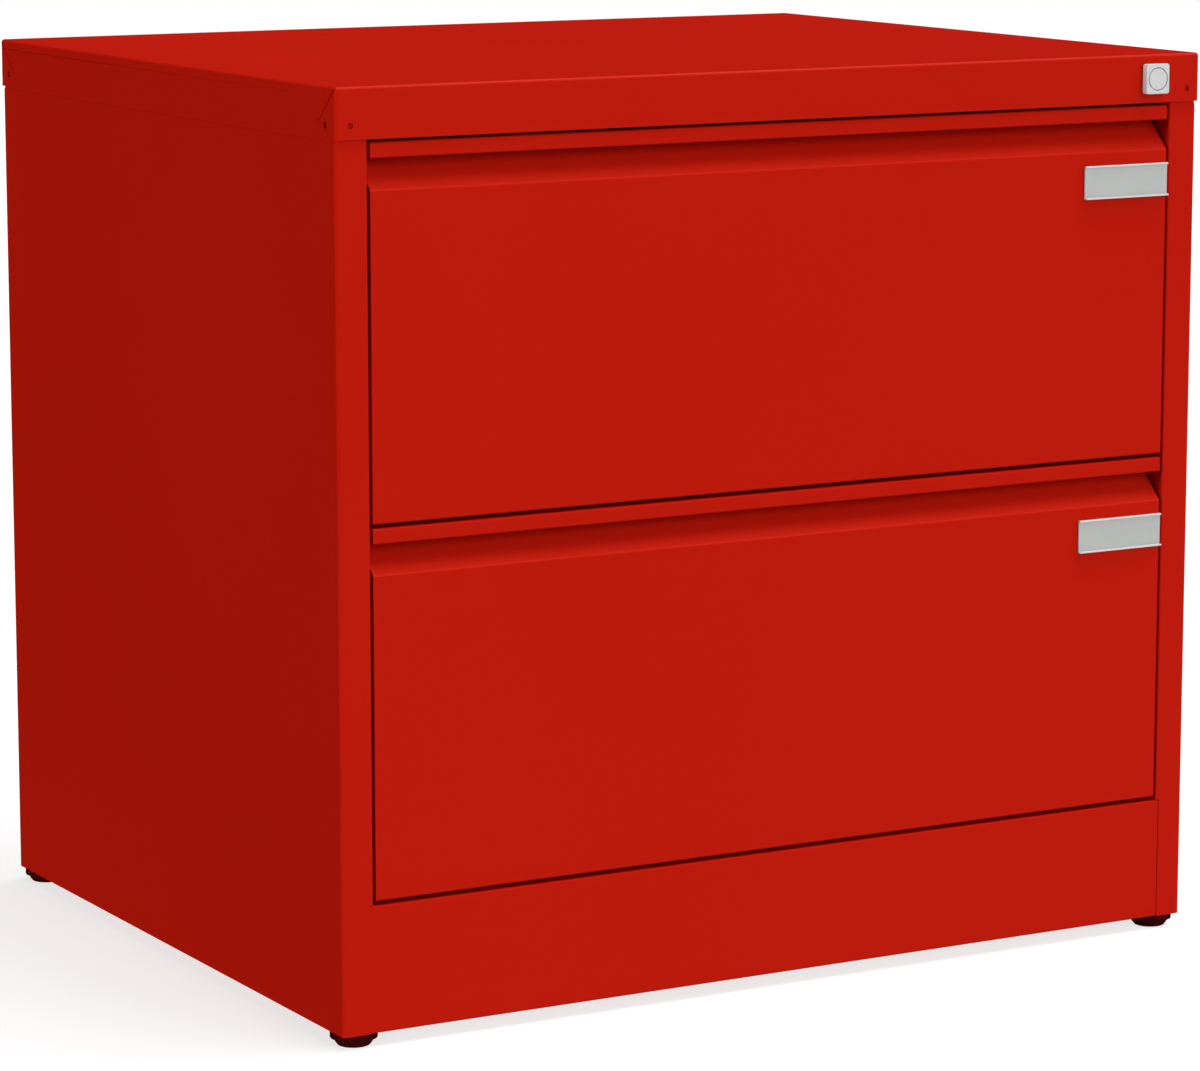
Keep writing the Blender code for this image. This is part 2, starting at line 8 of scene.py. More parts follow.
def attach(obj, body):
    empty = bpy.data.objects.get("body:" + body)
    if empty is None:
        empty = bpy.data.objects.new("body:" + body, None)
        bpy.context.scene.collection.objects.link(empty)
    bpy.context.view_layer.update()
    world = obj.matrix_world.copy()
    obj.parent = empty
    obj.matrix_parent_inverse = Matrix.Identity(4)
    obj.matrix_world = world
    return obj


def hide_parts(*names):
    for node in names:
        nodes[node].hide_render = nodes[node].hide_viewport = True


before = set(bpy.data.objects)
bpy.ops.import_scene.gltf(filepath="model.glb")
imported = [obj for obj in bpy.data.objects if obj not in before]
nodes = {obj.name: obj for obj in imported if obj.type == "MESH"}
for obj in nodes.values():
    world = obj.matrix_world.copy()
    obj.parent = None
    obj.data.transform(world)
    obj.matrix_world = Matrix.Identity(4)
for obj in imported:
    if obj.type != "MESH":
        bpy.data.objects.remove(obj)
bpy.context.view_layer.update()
scene = bpy.context.scene

MM = 0.001
SHEET = 1.0 * MM
HALF = SHEET / 2
COVER_FRONT = -0.308
BODY_TOP = 0.711
F = 0.0105                  # bottom edge of the body
BASES = {"upper": 0.3816, "lower": 0.1002}   # drawer bottoms above F
FRONT_HALF = 352.3 * MM
FACE_TOP = 244.6 * MM
LOCK_X, LOCK_Z = 0.337, 0.6919


def at(depth):
    """World Y of a point this many millimetres behind the cover's front face."""
    return COVER_FRONT + depth * MM


# ================================================================ node helpers
class Tree:
    """Short names for building a material's nodes."""

    def __init__(self, name):
        self.material = bpy.data.materials.new(name)
        self.material.use_nodes = True
        self.tree = self.material.node_tree
        self.shader = self.tree.nodes["Principled BSDF"]
        self.coords = self.tree.nodes.new("ShaderNodeTexCoord").outputs["Object"]

    def node(self, kind, **values):
        made = self.tree.nodes.new(kind)
        for key, value in values.items():
            if hasattr(made, key):
                setattr(made, key, value)
            else:
                made.inputs[key.replace("_", " ").title()].default_value = value
        return made

    def link(self, a, b):
        self.tree.links.new(a, b)
        return b

    def scaled(self, x, y, z):
        mapping = self.node("ShaderNodeMapping")
        mapping.inputs["Scale"].default_value = (x, y, z)
        self.link(self.coords, mapping.inputs["Vector"])
        return mapping.outputs["Vector"]

    def noise(self, scale, detail=2.0, rough=0.5, vector=None, out="Fac"):
        made = self.tree.nodes.new("ShaderNodeTexNoise")
        made.inputs["Scale"].default_value = scale
        made.inputs["Detail"].default_value = detail
        made.inputs["Roughness"].default_value = rough
        self.link(vector or self.coords, made.inputs["Vector"])
        return made.outputs[out]

    def spread(self, value, low, high, from_low=0.3, from_high=0.7):
        made = self.tree.nodes.new("ShaderNodeMapRange")
        made.inputs["From Min"].default_value = from_low
        made.inputs["From Max"].default_value = from_high
        made.inputs["To Min"].default_value = low
        made.inputs["To Max"].default_value = high
        self.link(value, made.inputs["Value"])
        return made.outputs["Result"]

    def ramp(self, value, stops):
        made = self.tree.nodes.new("ShaderNodeValToRGB")
        while len(made.color_ramp.elements) < len(stops):
            made.color_ramp.elements.new(0.5)
        for element, (place, colour) in zip(made.color_ramp.elements, stops):
            element.position = place
            element.color = (*colour, 1.0)
        self.link(value, made.inputs["Fac"])
        return made.outputs["Color"]

    def math(self, kind, a, b):
        made = self.tree.nodes.new("ShaderNodeMath")
        made.operation = kind
        for socket, value in zip(made.inputs, (a, b)):
            if isinstance(value, (int, float)):
                socket.default_value = value
            else:
                self.link(value, socket)
        return made.outputs["Value"]

    def bump(self, height, distance, strength=1.0, normal=None):
        made = self.tree.nodes.new("ShaderNodeBump")
        made.inputs["Strength"].default_value = strength
        made.inputs["Distance"].default_value = distance
        self.link(height, made.inputs["Height"])
        if normal is not None:
            self.link(normal, made.inputs["Normal"])
        return made.outputs["Normal"]

    def put(self, **values):
        for key, value in values.items():
            socket = self.shader.inputs[key.replace("_", " ")]
            if isinstance(value, (int, float, tuple)):
                socket.default_value = (*value, 1.0) if isinstance(value, tuple) else value
            else:
                self.link(value, socket)
        return self.material


def powder_coat(name, tone=1.0, rough=0.46, glint=(1.0, 0.20, 0.13), level=0.044):
    """Smooth satin powder coat: fine orange peel, faint cloudiness in colour and gloss."""
    t = Tree(name)
    cloud = t.noise(2.6, 3.0, 0.55)
    speck = t.noise(420.0, 1.0, 0.4)
    mixed = t.math("ADD", t.math("MULTIPLY", cloud, 0.8), t.math("MULTIPLY", speck, 0.2))
    colour = t.ramp(mixed, [
        (0.30, (0.497 * tone, 0.0093 * tone, 0.0029 * tone)),
        (0.50, (0.507 * tone, 0.0097 * tone, 0.0030 * tone)),
        (0.70, (0.517 * tone, 0.0101 * tone, 0.0031 * tone)),
    ])
    peel = t.noise(520.0, 2.0, 0.45)
    grain = t.noise(3200.0, 1.0, 0.5)
    normal = t.bump(peel, 0.000016)
    normal = t.bump(grain, 0.0000025, 1.0, normal)
    gloss = t.spread(t.noise(7.0, 4.0, 0.6), rough - 0.03, rough + 0.04)
    return t.put(
        Base_Color=colour, Roughness=gloss, Specular_IOR_Level=level, Specular_Tint=glint,
        Metallic=0.0, Normal=normal,
    )


def zinc(name, tint=(0.60, 0.61, 0.62), rough=0.33):
    """Zinc-plated rolled steel: long rolling marks, faint clouds of passivation."""
    t = Tree(name)
    cloud = t.noise(14.0, 3.0, 0.6)
    colour = t.ramp(cloud, [
        (0.30, tuple(c * k for c, k in zip(tint, (0.93, 0.95, 1.00)))),
        (0.52, tint),
        (0.74, tuple(c * k for c, k in zip(tint, (1.04, 1.02, 0.96)))),
    ])
    lines = t.noise(1.0, 3.0, 0.6, t.scaled(1400.0, 14.0, 1400.0))
    normal = t.bump(lines, 0.000006)
    gloss = t.spread(t.math("ADD", t.math("MULTIPLY", lines, 0.5), t.math("MULTIPLY", cloud, 0.5)), rough - 0.07, rough + 0.09)
    return t.put(Base_Color=colour, Roughness=gloss, Metallic=0.62, Specular_IOR_Level=0.5, Normal=normal)


def aluminium(name, tone=1.0):
    """Satin extruded aluminium: fine die lines along its length."""
    t = Tree(name)
    lines = t.noise(1.0, 2.0, 0.6, t.scaled(18.0, 2600.0, 2600.0))
    colour = t.ramp(t.noise(60.0, 2.0, 0.5), [
        (0.30, (0.450 * tone, 0.458 * tone, 0.446 * tone)),
        (0.70, (0.468 * tone, 0.476 * tone, 0.464 * tone)),
    ])
    normal = t.bump(lines, 0.000004)
    gloss = t.spread(lines, 0.46, 0.56)
    return t.put(Base_Color=colour, Roughness=gloss, Metallic=0.3, Specular_IOR_Level=0.4, Normal=normal)


def nickel(name, tint=(0.615, 0.615, 0.62)):
    """Satin plating over a die casting: fine blasted grain."""
    t = Tree(name)
    grain = t.noise(2400.0, 2.0, 0.6)
    colour = t.ramp(t.noise(180.0, 2.0, 0.5), [
        (0.30, tuple(c * 0.97 for c in tint)),
        (0.70, tuple(c * 1.02 for c in tint)),
    ])
    normal = t.bump(grain, 0.000008)
    gloss = t.spread(t.noise(300.0, 2.0, 0.5), 0.42, 0.50)
    return t.put(Base_Color=colour, Roughness=gloss, Metallic=0.15, Specular_IOR_Level=0.3, Normal=normal)


def plastic(name, tone=(0.012, 0.0115, 0.0115), shine=0.3, rough=0.53):
    """Moulded black plastic with a fine leathery grain."""
    t = Tree(name)
    cells = t.tree.nodes.new("ShaderNodeTexVoronoi")
    cells.inputs["Scale"].default_value = 1300.0
    t.link(t.coords, cells.inputs["Vector"])
    colour = t.ramp(t.noise(90.0, 3.0, 0.6), [
        (0.30, tuple(c * 0.80 for c in tone)),
        (0.70, tuple(c * 1.25 for c in tone)),
    ])
    normal = t.bump(cells.outputs["Distance"], 0.00003, 0.6)
    gloss = t.spread(t.noise(120.0, 2.0, 0.5), rough - 0.07, rough + 0.07)
    return t.put(Base_Color=colour, Roughness=gloss, Specular_IOR_Level=shine, Metallic=0.0, Normal=normal)


def steel(name):
    """Polished bearing steel."""
    t = Tree(name)
    colour = t.ramp(t.noise(700.0, 2.0, 0.5), [(0.3, (0.60, 0.60, 0.61)), (0.7, (0.68, 0.68, 0.69))])
    gloss = t.spread(t.noise(500.0, 2.0, 0.5), 0.10, 0.20)
    return t.put(Base_Color=colour, Roughness=gloss, Metallic=1.0)


RED = powder_coat("red_powder_coat")
RED_INNER = powder_coat("red_powder_coat_inside", 0.96, 0.52)
# painted shade: a darker copy of the red (0.72) for the rivet heads sunk in the cover's front holes
RED_PAINTED_SHADE_IN_HOLES = powder_coat("red_powder_coat_painted_shade_in_holes", 0.72, 0.60)
# painted shade: a slightly darker copy of the red (0.90) for the pins seen deep in the side holes
RED_PAINTED_SHADE_DEEP_DOWN = powder_coat("red_powder_coat_painted_shade_deep_down", 0.90, 0.60)
RED_FOLD_PAINTED_HIGHLIGHT = powder_coat("red_powder_coat_painted_highlight_on_folds", 1.0, 0.46, (1.0, 0.38, 0.21), 0.10)    # painted highlight: a stronger, whiter specular only on the folds
# painted highlight: a 10% lighter copy of the red with a stronger, whiter specular, for the drawer fronts' top bends
RED_BEND_PAINTED_HIGHLIGHT = powder_coat("red_powder_coat_painted_highlight_on_bends", 1.10, 0.46, (1.0, 0.34, 0.19), 0.10)
ZINC = zinc("zinc_plated_steel")
ZINC_DARK = zinc("zinc_plated_steel_inner", (0.50, 0.51, 0.52), 0.38)
ALU = aluminium("satin_aluminium")
# painted highlight: the aluminium made 36% lighter, for the holder's lips
ALU_LIP_PAINTED_HIGHLIGHT = aluminium("satin_aluminium_lips_painted_highlight", 1.36)
NICKEL = nickel("satin_nickel")
BLACK = plastic("black_plastic")
FOOT = plastic("foot_plastic", (0.0400, 0.0009, 0.0012), 0.03, 0.62)    # black with a dark red cast
BALL = steel("bearing_steel")


# ================================================================ mesh helpers
def add_object(name, bm, paint):
    mesh = bpy.data.meshes.new(name)
    bm.normal_update()
    bm.to_mesh(mesh)
    bm.free()
    obj = bpy.data.objects.new(name, mesh)
    scene.collection.objects.link(obj)
    if paint:
        mesh.materials.append(paint)
    return obj


def bake(obj):
    """Applies the object's modifiers."""
    graph = bpy.context.evaluated_depsgraph_get()
    graph.update()
    mesh = bpy.data.meshes.new_from_object(obj.evaluated_get(graph))
    old = obj.data
    paints = list(old.materials)
    obj.modifiers.clear()
    obj.data = mesh
    if old.users == 0:
        bpy.data.meshes.remove(old)
    mesh.name = obj.name
    mesh.materials.clear()
    for paint in paints:
        mesh.materials.append(paint)
    mesh.polygons.foreach_set("material_index", [0] * len(mesh.polygons))
    return mesh


def shade(obj, angle):
    """Smooth shading that keeps the flat faces flat: normals are weighted by face area."""
    obj.data.shade_smooth()
    obj.data.set_sharp_from_angle(angle=math.radians(angle))
    mod = obj.modifiers.new("weighted_normals", "WEIGHTED_NORMAL")
    mod.mode = "FACE_AREA"
    mod.weight = 50
    mod.keep_sharp = True
    bake(obj)
    return obj


def settle(obj, edge=0.0, angle=35.0, segments=2):
    """Applies the modifiers, rounds the sharp edges a little and shades the rest smooth."""
    if edge:
        mod = obj.modifiers.new("edge_rounding", "BEVEL")
        mod.width = edge
        mod.segments = segments
        mod.limit_method = "ANGLE"
        mod.angle_limit = math.radians(50)
        mod.use_clamp_overlap = True
    mesh = bake(obj)
    bm = bmesh.new()
    bm.from_mesh(mesh)
    bmesh.ops.remove_doubles(bm, verts=bm.verts[:], dist=0.000004)
    bmesh.ops.dissolve_degenerate(bm, edges=bm.edges[:], dist=0.000004)
    bmesh.ops.recalc_face_normals(bm, faces=bm.faces[:])
    bm.to_mesh(mesh)
    bm.free()
    return shade(obj, angle)


def finish_faces(obj, paint, chosen):
    """Gives some faces of a settled piece a material of their own; here that paints highlights on folds, bends and
    lips.
    """
    obj.data.materials.append(paint)
    for face in obj.data.polygons:
        if chosen(face.center, face.normal):
            face.material_index = len(obj.data.materials) - 1


def box_mesh(lo, hi):
    bm = bmesh.new()
    size = Vector(hi) - Vector(lo)
    middle = (Vector(hi) + Vector(lo)) / 2
    bmesh.ops.create_cube(bm, size=1.0, matrix=Matrix.Translation(middle) @ Matrix.Diagonal((*size, 1.0)))
    return bm


def box(name, lo, hi, paint=None):
    return add_object(name, box_mesh(lo, hi), paint)


def rod(name, radius, centre, axis, length, sides=40):
    turn = {"X": Matrix.Rotation(math.pi / 2, 4, "Y"), "Y": Matrix.Rotation(math.pi / 2, 4, "X"), "Z": Matrix.Identity(4)}[axis]
    bm = bmesh.new()
    bmesh.ops.create_cone(
        bm, cap_ends=True, segments=sides, radius1=radius, radius2=radius, depth=length,
        matrix=Matrix.Translation(Vector(centre)) @ turn,
    )
    return add_object(name, bm, None)


def apply_boolean(obj, other, operation):
    mod = obj.modifiers.new(operation.lower(), "BOOLEAN")
    mod.operation = operation
    mod.solver = "EXACT"
    mod.object = other
    graph = bpy.context.evaluated_depsgraph_get()
    graph.update()
    mesh = bpy.data.meshes.new_from_object(obj.evaluated_get(graph))
    paints = list(obj.data.materials)
    old = obj.data
    obj.modifiers.clear()
    obj.data = mesh
    bpy.data.meshes.remove(old)
    mesh.materials.clear()
    for paint in paints:
        mesh.materials.append(paint)
    gone = other.data
    bpy.data.objects.remove(other, do_unlink=True)
    bpy.data.meshes.remove(gone)
    return obj


def cut(obj, *others):
    for other in others:
        apply_boolean(obj, other, "DIFFERENCE")
    return obj


def join(obj, *others):
    for other in others:
        apply_boolean(obj, other, "UNION")
    return obj


def filleted(points, radius, steps=7):
    """The polyline with each inner corner turned into an arc. radius may be one number or one per corner."""
    radii = radius if isinstance(radius, (list, tuple)) else [radius] * (len(points) - 2)
    out = [Vector(points[0])]
    for before, corner, after, wanted in zip(points, points[1:], points[2:], radii):
        before, corner, after = Vector(before), Vector(corner), Vector(after)
        into, away = (before - corner), (after - corner)
        half = into.angle(away) / 2
        reach = min(wanted / math.tan(half), into.length * 0.45, away.length * 0.45)
        r = reach * math.tan(half)
        centre = corner + (into.normalized() + away.normalized()).normalized() * (r / math.sin(half))
        start = corner + into.normalized() * reach - centre
        sweep = start.angle_signed(corner + away.normalized() * reach - centre)
        for i in range(steps + 1):
            turned = start.copy()
            turned.rotate(Matrix.Rotation(-sweep * i / steps, 2))
            out.append(centre + turned)
    out.append(Vector(points[-1]))
    return out


ORDER = {
    "XY": lambda a, b, c: (a, b, c),
    "YZ": lambda a, b, c: (c, a, b),
    "XZ": lambda a, b, c: (a, c, b),
}


def sheet_outline(line, thickness):
    """The closed outline of a sheet whose middle line is this polyline."""
    left, right = [], []
    h = thickness / 2
    for i, p in enumerate(line):
        if i == 0:
            d = (line[1] - p).normalized()
            n, k = Vector((-d.y, d.x)), 1.0
        elif i == len(line) - 1:
            d = (p - line[-2]).normalized()
            n, k = Vector((-d.y, d.x)), 1.0
        else:
            a, b = (p - line[i - 1]).normalized(), (line[i + 1] - p).normalized()
            na, nb = Vector((-a.y, a.x)), Vector((-b.y, b.x))
            n = (na + nb).normalized()
            k = 1.0 / max(0.2, n.dot(na))
        left.append(p + n * h * k)
        right.append(p - n * h * k)
    return left + right[::-1]


def folded_sheet(name, points, plane, levels, paint, thickness=SHEET, radius=1.5 * MM, shift=None, steps=7):
    """Sheet metal with a constant cross-section: points is its middle line in the plane."""
    line = filleted(points, radius, steps) if radius else [Vector(p) for p in points]
    ring = sheet_outline(line, thickness)
    order = ORDER[plane]
    bm = bmesh.new()
    rows = []
    for index, level in enumerate(levels):
        row = [bm.verts.new(order(p.x, p.y, level)) for p in ring]
        if shift:
            for v in row:
                v.co = shift(v.co.copy(), index)
        rows.append(row)
    count = len(ring)
    for low, high in zip(rows, rows[1:]):
        for i in range(count):
            j = (i + 1) % count
            bm.faces.new((low[i], low[j], high[j], high[i]))
    half = count // 2
    for row in (rows[0], rows[-1]):
        for i in range(half - 1):
            bm.faces.new((row[i], row[i + 1], row[count - 2 - i], row[count - 1 - i]))
    bmesh.ops.recalc_face_normals(bm, faces=bm.faces[:])
    return add_object(name, bm, paint)


def lathe_into(bm, profile, origin, axis, steps=24):
    """Adds a solid of revolution; profile is (radius, height along axis), from the axis outwards and back."""
    axis = Vector(axis).normalized()
    turn = Vector((0, 0, 1)).rotation_difference(axis).to_matrix()
    origin = Vector(origin)
    rings = []
    for r, h in profile:
        if r < 1e-7:
            rings.append([bm.verts.new(origin + turn @ Vector((0, 0, h)))])
        else:
            rings.append([
                bm.verts.new(origin + turn @ Vector((r * math.cos(a), r * math.sin(a), h)))
                for a in (2 * math.pi * i / steps for i in range(steps))
            ])
    for a, b in zip(rings, rings[1:]):
        for i in range(steps):
            j = (i + 1) % steps
            if len(a) == 1 and len(b) == 1:
                continue
            if len(a) == 1:
                bm.faces.new((a[0], b[i], b[j]))
            elif len(b) == 1:
                bm.faces.new((a[i], a[j], b[0]))
            else:
                bm.faces.new((a[i], b[i], b[j], a[j]))


def lathes(name, items, paint, steps=24, angle=40.0):
    """One object of several solids of revolution: items are (profile, origin, axis)."""
    bm = bmesh.new()
    for profile, origin, axis in items:
        lathe_into(bm, profile, origin, axis, steps)
    bmesh.ops.recalc_face_normals(bm, faces=bm.faces[:])
    return shade(add_object(name, bm, paint), angle)


def rivet(r=2.6 * MM, h=0.95 * MM):
    """A blind rivet's head with the dimple its stem leaves."""
    return [
        (0.0, 0.40 * h), (0.26 * r, 0.40 * h), (0.34 * r, 0.82 * h), (0.42 * r, 0.98 * h),
        (0.60 * r, 0.92 * h), (0.80 * r, 0.66 * h), (0.94 * r, 0.30 * h), (r, 0.05 * h), (r, -0.2 * h), (0.0, -0.2 * h),
    ]


def place(obj, body, *stands_for, slot=None):
    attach(obj, body)
    if stands_for:
        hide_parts(*stands_for)
    return obj


# ================================================================ cover
def make_cover():
    bm = box_mesh((-0.381 + HALF, at(0) + HALF, BODY_TOP - 0.0382), (0.381 - HALF, at(622) - HALF, BODY_TOP - HALF))
    floor = min(bm.faces, key=lambda f: f.calc_center_median().z)
    bmesh.ops.delete(bm, geom=[floor], context="FACES_ONLY")
    folds = [e for e in bm.edges if len(e.link_faces) == 2]
    bmesh.ops.bevel(bm, geom=folds, offset=2.0 * MM, offset_type="OFFSET", segments=7, profile=0.5, affect="EDGES")
    bmesh.ops.recalc_face_normals(bm, faces=bm.faces[:])
    cover = add_object("cover", bm, RED)
    solid = cover.modifiers.new("thickness", "SOLIDIFY")
    solid.thickness = SHEET
    solid.offset = 0.0
    solid.use_even_offset = True
    z = F + 672.5 * MM
    cutters = []
    for i, x in enumerate((-0.3692, 0.3692)):
        cutters.append(rod(f"c_front_{i}", 2.3 * MM, (x, at(0), z), "Y", 6 * MM, 32))
    for i, x in enumerate((-0.381, 0.381)):
        for j, d in enumerate((16.2, 605.8)):
            cutters.append(rod(f"c_side_{i}{j}", 2.5 * MM, (x, at(d), z), "X", 6 * MM, 32))
    cutters.append(rod("c_lock", 10.1 * MM, (LOCK_X, at(0), LOCK_Z), "Y", 6 * MM, 48))
    cut(cover, *cutters)
    # the mitred corner joints of the skirts: a seam runs down and back from each top corner
    for side in (-1, 1):
        for d0, way in ((0.0, 1), (622.0, -1)):
            a = Vector((at(d0 + way * 0.3), BODY_TOP - 0.32 * MM))
            m = Vector((at(d0 + way * 8.0), BODY_TOP - 7.78 * MM))
            b = Vector((at(d0 + way * 27.0), BODY_TOP - 26.2 * MM))
            c = Vector((at(d0 + way * 27.0), BODY_TOP - 42.0 * MM))
            for index, (p, q, width, deep) in enumerate((
                (a, m, 0.95 * MM, 0.9 * MM), (m, b, 0.85 * MM, 0.5 * MM), (b, c, 0.10 * MM, 0.5 * MM),
            )):
                along = (q - p)
                mid = (p + q) / 2
                tool = box_mesh((-deep, -along.length / 2, -width / 2), (deep, along.length / 2, width / 2))
                turn = Matrix.Rotation(math.atan2(along.y, along.x), 4, "X")
                bmesh.ops.transform(tool, matrix=Matrix.Translation((side * (0.381 + 0.02 * MM), mid.x, mid.y)) @ turn, verts=tool.verts[:])
                cut(cover, add_object(f"c_seam_{side}_{way}_{index}", tool, None))
    settle(cover, 0.14 * MM, 30.0)
    # the folds round the top get the copy of the red with a stronger, whiter specular: a painted highlight along them
    finish_faces(cover, RED_FOLD_PAINTED_HIGHLIGHT, lambda spot, way: spot.z > BODY_TOP - 2.6 * MM and 0.12 < way.z < 0.985)
    return place(cover, "root", "top_cover", slot="red_powder_coat")


# ================================================================ body
def make_side_panel(name, side):
    wall = 0.3803 - HALF
    edge = 0.3545 + HALF
    outline = [
        (side * edge, at(22.4)),
        (side * edge, at(2.4) + HALF),
        (side * wall, at(2.4) + HALF),
        (side * wall, at(619.6) - HALF),
        (side * 0.350, at(619.6) - HALF),
    ]
    top = BODY_TOP - 1.4 * MM
    levels = [F, F + 659.5 * MM, F + 660.1 * MM, F + 660.7 * MM, F + 661.3 * MM, top]

    def joggle(co, level):
        if level >= 2 and abs(co.x) > 0.370:
            co.x -= side * 0.8 * MM * min(1.0, (level - 1) / 3)
        return co

    panel = folded_sheet(name, outline, "XY", levels, RED, radius=[1.0 * MM, 2.1 * MM, 1.8 * MM], shift=joggle)

    def span(a, b):
        return tuple(sorted((side * a, side * b)))

    x0, x1 = span(0.350, 0.3577 if side > 0 else 0.3575)
    cut(panel, box(name + "_n1", (x0, at(-1), F - 5 * MM), (x1, at(24), F + 97.3 * MM)))
    x0, x1 = span(0.350, 0.3566)
    cut(panel, box(name + "_n2", (x0, at(3.7), F + 662.0 * MM), (x1, at(24), BODY_TOP + 5 * MM)))
    x0, x1 = span(0.3435, 0.3797)
    join(panel, box(name + "_f1", (x0, at(3.9), F + 0.2 * MM), (x1, at(619.0), F + 1.2 * MM)))
    x0, x1 = span(0.360, 0.3789)
    join(panel, box(name + "_f2", (x0, at(42.0), top - 1.2 * MM), (x1, at(590.0), top - 0.2 * MM)))
    for i, d in enumerate((19.6, 602.4)):
        cut(panel, rod(f"{name}_h{i}", 4.4 * MM, (side * 0.3631, at(d), F), "Z", 10 * MM, 24))
    for i, d in enumerate((16.2, 605.8)):    # behind the holes in the cover's skirt
        cut(panel, rod(f"{name}_k{i}", 2.7 * MM, (side * 0.3790, at(d), F + 672.5 * MM), "X", 8 * MM, 24))
    settle(panel, 0.12 * MM, 30.0)
    return place(panel, "root", f"{name}_panel", slot="red_powder_coat")


def make_plinth():
    """Folded plinth. Its left end is butted against the panel and painted over, so no seam shows there."""
    front, back = at(2.4) + HALF, at(32.4)
    low, high = F + HALF, F + 97.0 * MM - HALF
    plinth = folded_sheet(
        "plinth_board",
        [(back, low), (front, low), (front, high), (back, high), (back, high - 14 * MM)],
        "YZ", [-0.3575, 0.3571], RED, radius=1.1 * MM,
    )
    for side in (-1, 1):
        x0, x1 = sorted((side * 0.343, side * 0.360))
        cut(plinth, box(f"p_cut_{side}", (x0, at(3.7), F - 2 * MM), (x1, at(40), F + 3 * MM)))
    settle(plinth, 0.0, 30.0)
    return place(plinth, "root", "plinth", slot="red_powder_coat")


def make_frame_sheets():
    """The plain folded sheets behind the fronts and round the back."""
    back = folded_sheet(
        "back_sheet", [(-0.3776, at(601)), (-0.3776, at(617.8)), (0.3776, at(617.8)), (0.3776, at(601))],
        "XY", [F + 2.0 * MM, BODY_TOP - 3.0 * MM], RED,
    )
    for side in (-1, 1):
        cut(back, rod("k_cut", 2.7 * MM, (side * 0.3776, at(605.8), F + 672.5 * MM), "X", 8 * MM, 24))
    place(settle(back, 0.15 * MM, 30.0), "root", "back_panel", slot="red_powder_coat")
    low, high = F + 664.0 * MM, BODY_TOP - 3.4 * MM
    rail = folded_sheet(
        "head_rail", [(at(20), low), (at(4.3), low), (at(4.3), high), (at(20), high)], "YZ", [-0.3775, 0.3775], RED
    )
    cut(rail, rod("h_cut", 10.2 * MM, (LOCK_X, at(4.3), LOCK_Z), "Y", 6 * MM, 48))
    place(settle(rail, 0.15 * MM, 30.0), "root", "front_top_rail", slot="red_powder_coat")
    low, high = F + 366.5 * MM, F + 380.5 * MM
    rail = folded_sheet(
        "cross_rail", [(at(46), low), (at(46), high), (at(72), high), (at(72), low)],
        "YZ", [-0.3539, 0.3539], RED, thickness=1.2 * MM, radius=2.0 * MM,
    )
    place(settle(rail, 0.15 * MM, 30.0), "root", "middle_rail", slot="red_powder_coat")
    for side, hand in ((-1, "left"), (1, "right")):
        for start, word in ((44.0, "front"), (556.0, "rear")):
            near, far = at(start + 0.6), at(start + 39.4)
            post = folded_sheet(
                f"{hand}_{word}_post",
                [(side * 0.3789, near), (side * 0.3549, near), (side * 0.3549, far), (side * 0.3789, far)],
                "XY", [F + 17.0 * MM, F + 657.5 * MM], ZINC, thickness=1.2 * MM, radius=2.0 * MM,
            )
            # the row of slots that the slides hook into
            for i in range(12):
                z = F + (60.0 + 50.0 * i) * MM
                cut(post, box(f"slot_{i}", (side * 0.3549 - 2 * MM, at(start + 17.5), z), (side * 0.3549 + 2 * MM, at(start + 22.5), z + 16 * MM)))
            place(settle(post, 0.0, 30.0), "root", f"{hand}_{word}_upright", slot="zinc_plated_steel")
    bm = box_mesh((-0.376, at(36), F + 3 * MM), (0.376, at(616), F + 16 * MM))
    floor = min(bm.faces, key=lambda f: f.calc_center_median().z)
    bmesh.ops.delete(bm, geom=[floor], context="FACES_ONLY")
    folds = [e for e in bm.edges if len(e.link_faces) == 2]
    bmesh.ops.bevel(bm, geom=folds, offset=1.5 * MM, offset_type="OFFSET", segments=5, profile=0.5, affect="EDGES")
    bmesh.ops.recalc_face_normals(bm, faces=bm.faces[:])
    pan = add_object("floor_pan", bm, RED_INNER)
    solid = pan.modifiers.new("thickness", "SOLIDIFY")
    solid.thickness = SHEET
    solid.offset = 0.0
    solid.use_even_offset = True
    place(settle(pan, 0.0, 30.0), "root", "base_pan", slot="red_powder_coat")
    # countersunk rivets that close the cover's front holes; their heads are a darker red, a painted shade for the hole
    items = []
    for x in (-0.3692, 0.3692):
        profile = [(0.0, 0.0), (0.7 * MM, 0.0), (0.95 * MM, 0.22 * MM), (1.9 * MM, 0.22 * MM), (2.15 * MM, 0.05 * MM), (2.15 * MM, -1.2 * MM), (0.0, -1.2 * MM)]
        items.append((profile, (x, at(1.0), F + 672.5 * MM), (0, -1, 0)))
    place(lathes("cover_rivets", items, RED_PAINTED_SHADE_IN_HOLES, 32), "root", slot="red_powder_coat")
    # plain pins that close the side panels' holes, seen deep in the holes of the cover's sides, in a slightly darker
    # red that paints the shade down there
    items = []
    for side in (-1, 1):
        for d in (16.2, 605.8):
            profile = [(0.0, 0.0), (2.62 * MM, 0.0), (2.62 * MM, -1.0 * MM), (0.0, -1.0 * MM)]
            items.append((profile, (side * 0.3793, at(d), F + 672.5 * MM), (side, 0, 0)))
    place(lathes("cover_pins", items, RED_PAINTED_SHADE_DEEP_DOWN, 32), "root", slot="red_powder_coat")


def make_back_rivets():
    items = []
    for side in (-1, 1):
        for z in (45.0, 170.0, 295.0, 420.0, 545.0, 655.0):
            items.append((rivet(2.4 * MM, 0.9 * MM), (side * 0.3632, at(619.6), z * MM), (0, 1, 0)))
    return place(lathes("back_rivets", items, RED), "root", slot="red_powder_coat")


